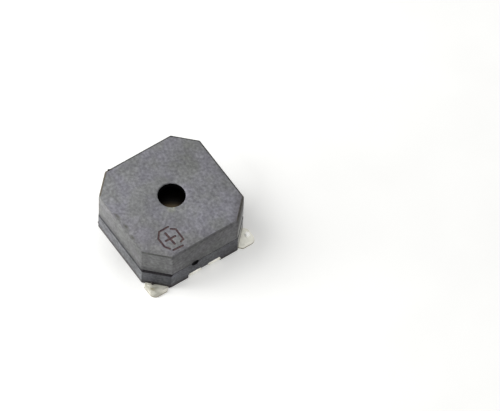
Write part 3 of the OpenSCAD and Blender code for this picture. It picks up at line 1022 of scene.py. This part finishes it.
def brighter(tones, gain):
    """A plastic's tones with more light in them."""
    return [tuple(gain * part for part in tone) for tone in tones]


WALL_TONES = ((0.101, 0.101, 0.102), (0.143, 0.143, 0.145), (0.189, 0.189, 0.190))
WALL_TINTS = ((1.01, 1.0, 1.02), (0.985, 1.0, 0.97))
# Painted shade: the walls darker from W towards S and E.
WALL_PAINTED_SHADE = ((1, 0, 0), -2.7, 2.7, 0.70)
OLIVE = (0.60, 0.60, 0.50)
case_wall = 4.27
# Centre of the painted shade above the slot at the plus corner.
above_rebate = 4.95 * CORNER_PLUS + Vector((0, 0, case_low.z))
roof_face = moulded(
    "case_roof", ((0.139, 0.139, 0.150), (0.193, 0.193, 0.206), (0.256, 0.256, 0.272)),
    ((1.02, 1.01, 1.06), (0.97, 0.985, 0.93)),
    # The first band is a tint; the others are painted edge shade, darker towards the E, N and
    # +X edges.
    [(CORNER_PLUS, 1.5, 3.6, (0.96, 0.945, 0.94)),
     (CORNER_DUMMY, 4.45, 4.86, (0.72, 0.70, 0.69)),
     ((-1, 1, 0), 6.85, 7.0, (0.80, 0.79, 0.77)), ((1, 0, 0), 3.7, 4.1, 0.90)],
    # The first two spots are a painted highlight on the sound hole's near rim; the last is
    # darker towards the S edge; the rest are tones of the plastic.
    [on_roof(hole_shift.x + 0.93, hole_shift.y - 0.66, 0.42, 0.42, (1.10, 1.12, 0.98)),
     on_roof(hole_shift.x + 0.935, hole_shift.y - 0.445, 0.09, 0.09, (1.9, 1.9, 1.7)),
     on_roof(*mark_middle, 0.9, 0.9, (1.07, 1.09, 1.07)),
     on_roof(-2.3, 2.5, 1.8, 1.6, (0.92, 0.93, 0.89)),
     on_roof(2.7, 1.4, 1.9, 1.9, (1.11, 1.11, 1.12)),
     on_roof(-2.45, 3.03, 1.3, 1.1, (0.96, 0.96, 0.94), 0.3),
     on_roof(-1.59, 3.65, 0.17, 0.17, (1.45, 1.45, 1.43), 0.3),
     on_roof(-0.74, -4.09, 0.44, 0.15, OLIVE, 0.2, 0.17),
     on_roof(0.34, -4.05, 0.36, 0.15, OLIVE, 0.2, 0.21),
     on_roof(1.36, -4.16, 0.36, 0.15, OLIVE, 0.2, 0),
     on_roof(2.95, -4.05, 0.22, 0.75, (0.72, 0.72, 0.76), 0.1, radians(-45))],
    grain=0.22, streak=0.35)
wall_face = moulded(
    "case_walls", WALL_TONES, WALL_TINTS,
    # Painted light and shade: darker from W to S, lighter again on the S corner and +X, and
    # lighter on the +Y half and on the -Y wall.
    [WALL_PAINTED_SHADE, ((1, 0, 0), 2.75, 3.2, (1.20, 1.20, 1.22)), (CORNER_PLUS, 4.93, 4.945, 1.28),
     ((0, 1, 0), 0.0, 2.5, 1.1), ((0, -1, 0), 4.1, 4.2, 1.05)],
    # Painted shade above the slot and the seam, at the +X wall's top and E end and about the
    # vent; painted light at the -Y wall's W upright edge and along its top.
    [(above_rebate, (1.4, 1.4, 0.75), 0.42, 0),
     ((0, -case_half, case_low.z), (9.0, 1.0, 0.7), (0.45, 0.45, 0.46), 0),
     ((-2.75, -4.3, 2.9), (0.16, 0.2, 1.6), (1.12, 1.06, 1.02)),
     ((-1.0, -case_half, case_high.z), (3.6, 0.6, 0.9), 1.16),
     ((case_wall, -2.72, 3.9), (0.26, 0.26, 0.3), 0.6, 0),
     ((case_wall, 0.2, 3.96), (0.4, 2.9, 0.2), (0.80, 0.79, 0.79), 0.4),
     ((case_wall, 2.82, 2.8), (0.3, 0.3, 1.8), (0.75, 0.73, 0.72), 0),
     around_vent(case_wall)], grain=0.24)
burnt = mottled("burnt_mark", (0.055, 0.034, 0.044), (0.125, 0.084, 0.078), (0.16, 3.0),
                (0.05, 2.0), 0.006, Roughness=0.7, Specular_IOR_Level=0.15)
# Painted shade on the roof's rounded edges away from -Y, lightened at the S, W and E corners
# and at +Y as painted light.
edge_painted_shade = moulded(
    "case_painted_edge_shade", (0.028, (0.040, 0.040, 0.039), (0.058, 0.057, 0.054)),
    ((1.0, 0.98, 0.95), (0.98, 1.0, 0.98)),
    [(CORNER_PLUS, 4.3, 4.6, 2.2), (CORNER_TRIMMED, 4.5, 4.7, (2.5, 2.2, 1.8)),
     (CORNER_DUMMY, 4.5, 4.7, (1.8, 1.7, 1.65)), ((0, 1, 0), 4.15, 4.25, 1.4),
     ((-1, 1, 0), 6.7, 6.9, 0.6)], grain=0.25)
# Painted light: the soft -Y edge in paler tones than the walls.
front_edge = moulded("case_front_edge", brighter(WALL_TONES, 1.12), WALL_TINTS,
                     [WALL_PAINTED_SHADE], grain=0.24)
# Glossier plastic on the E corner, in paler tones as painted light, with painted shade
# darkening it towards the top.
wall_sheen = moulded(
    "case_glossy_corner", brighter(WALL_TONES, 1.25), WALL_TINTS,
    [((0, 0, 1), 1.8, 2.6, (0.72, 0.72, 0.71)), ((0, 0, 1), 2.4, 3.6, (0.52, 0.50, 0.48))],
    grain=0.24, shine=0.45, rough=(0.30, 0.42), dulled=(2.2, 3.2))

case = block(case_half, case_legs, case_low.z, case_high.z)
round_upright(case, corner_round)
move(case, (case_shift, 0, 0))
round_rim(case, case_high.z, edge_round)
round_rim(case, case_low.z, foot_soft, 2)
soften_front_edge(case)
for face in case.faces:
    face.normal_update()
    middle = face.calc_center_median()
    if face.normal.z > 0.97:
        face.material_index = ROOF
    elif face.normal.z > 0.15 and not_to_the_front(middle):
        face.material_index = EDGE
    elif (face.normal.z > 0.15 and middle.y < -case_half + front_strip
          and middle.x < front_end):
        face.material_index = FRONT
    elif face.normal.dot(CORNER_DUMMY) > 0.9:
        face.material_index = GLOSSY
    else:
        face.material_index = WALL
inside = turned([
    (0, case_low.z - 1), (ring_bore, case_low.z - 1), (ring_bore, shelf_at),
    (chamber_r, shelf_at), (chamber_r, chamber_at), (0, chamber_at)])
case = combine(case, inside, number=INNER)
leans = [pi / 8 * step for step in range(5)]
hole = turned([(0, chamber_at - 0.3), (hole_r, chamber_at - 0.3)]
              + [(hole_r + hole_round * (1 - cos(lean)),
                  case_high.z - hole_round * (1 - sin(lean))) for lean in leans]
              + [(hole_r + hole_round, case_high.z + 1), (0, case_high.z + 1)])
move(hole, hole_shift)
case = combine(case, hole, number=INNER)
for face in case.faces:
    middle = face.calc_center_median()
    from_hole = (middle - hole_shift).xy.length
    if middle.z > case_high.z - hole_round and from_hole < hole_r + hole_round:
        face.material_index = ROOF
case = combine(case, vent_tool(), number=SLOT)
for half_width, lines in ((ring_stroke, RING_STROKES), (plus_stroke, PLUS_STROKES)):
    for line in lines:
        for ends in zip(line, line[1:]):
            ends = [(mark_middle.x + x, mark_middle.y + y) for x, y in ends]
            stroke = round_bar(ends, half_width, case_high.z - mark_depth,
                               case_high.z + 0.5, 12)
            case = combine(case, stroke, number=BURNT)
case = combine(case, burr(*CASE_BURR), "UNION", INNER)
finish_piece(case, "moulded_case", [roof_face, wall_face, inside_shade, burnt, edge_painted_shade,
                                    front_edge, wall_sheen, vent_painted_shade],
             "case")


# --- Studio ---
# A pale table, a small overhead lamp, a low lamp at the side and a plain bright surround.
# The camera looks down on one corner from far off, through a long lens.
def lamp(name, towards, distance, size, strength):
    """A round lamp at a distance, turned to the part. A strength of 1 lights a face
    that looks at it so that its colour renders as it is written."""
    light = bpy.data.lights.new(name, "AREA")
    light.shape = "DISK"
    light.size = size
    light.energy = strength * (pi * distance) ** 2
    holder = in_scene(name, light)
    away = Vector(towards).normalized()
    holder.location = away * distance
    holder.rotation_euler = away.to_track_quat("Z", "Y").to_euler()


def looked_at(owner):
    """1 for rays from the camera or from a reflection, and 0 for the rest."""
    path = add_node(owner, "LightPath")
    return worked(owner, "MAXIMUM", path.outputs["Is Camera Ray"],
                  path.outputs["Is Glossy Ray"])


def table_surface():
    """Matte white card, with a glow that lights nothing but is seen and reflected. Its
    stronger and weaker ovals are painted light and painted shadow.
    """
    material = start_material("table_card", Roughness=0.9, Specular_IOR_Level=0.1)
    coat(material, shades(material, lumps(material, 6.0), (0.4, (0.86, 0.86, 0.845)),
                          (0.6, (0.88, 0.88, 0.865))))
    level = table_glow
    for centre, size, change in PAINTED_FLOOR_LIGHT:
        extra = spread(material, spot(material, centre, size, 0), 0.0, 1.0, 0.0, change)
        level = worked(material, "ADD", level, extra)
    emission = add_node(material, "Emission", {
        "Color": (1.0, 1.0, 0.985, 1.0),
        "Strength": worked(material, "MULTIPLY", looked_at(material), level)})
    tree = material.node_tree
    total = add_node(material, "AddShader", {
        0: tree.nodes["Principled BSDF"].outputs[0], 1: emission.outputs[0]})
    tree.links.new(total.outputs[0], tree.nodes["Material Output"].inputs["Surface"])
    return material


table_glow = 0.27
# Painted light and shadow on the card: paler ovals in the shade at +X and +Y, a darker one at
# -Y.
PAINTED_FLOOR_LIGHT = (((5.0, 0.0, 0), (3.2, 6.0, 1.0), 0.13),
              ((-1.2, 5.6, 0), (3.0, 2.0, 1.0), 0.20),
              ((0.3, -4.5, 0), (4.2, 2.3, 1.0), -0.25))
surround_light = 0.48
table_half = 400.0
table_drawn = bmesh.new()
bmesh.ops.create_grid(table_drawn, x_segments=8, y_segments=8, size=table_half)
move(table_drawn, (0, 0, -0.01))
resize(table_drawn, (MM, MM, MM))
table = in_scene("table", as_mesh(table_drawn, "table"))
table.data.materials.append(table_surface())

world = bpy.data.worlds.new("surround")
world.use_nodes = True
scene.world = world
background = world.node_tree.nodes["Background"]
background.inputs["Color"].default_value = rgba(1.0)
world.node_tree.links.new(spread(world, looked_at(world), 0.0, 1.0, surround_light, 1.0),
                          background.inputs["Strength"])

lamp("overhead_lamp", (-0.45, -0.45, 0.78), 0.15, 0.12, 0.60)
lamp("side_lamp", (-0.43, -0.87, 0.12), 0.045, 0.03, 0.88)

turn = radians(54.37)
tilt = radians(58.08)
roll = radians(2.05)
off_right = 5.615
off_up = 1.423
distance = 488.11
view = bpy.data.cameras.new("camera")
view.lens = 495.2
view.clip_start = 0.05
view.clip_end = 10.0
camera = in_scene("camera", view)
camera.matrix_world = (
    Matrix.Translation((0, 0, base_low.z * MM)) @ Matrix.Rotation(turn, 4, "Z")
    @ Matrix.Rotation(pi / 2 - tilt, 4, "X") @ Matrix.Rotation(roll, 4, "Z")
    @ Matrix.Translation((off_right * MM, off_up * MM, distance * MM)))
scene.camera = camera
scene.view_settings.view_transform = "Standard"
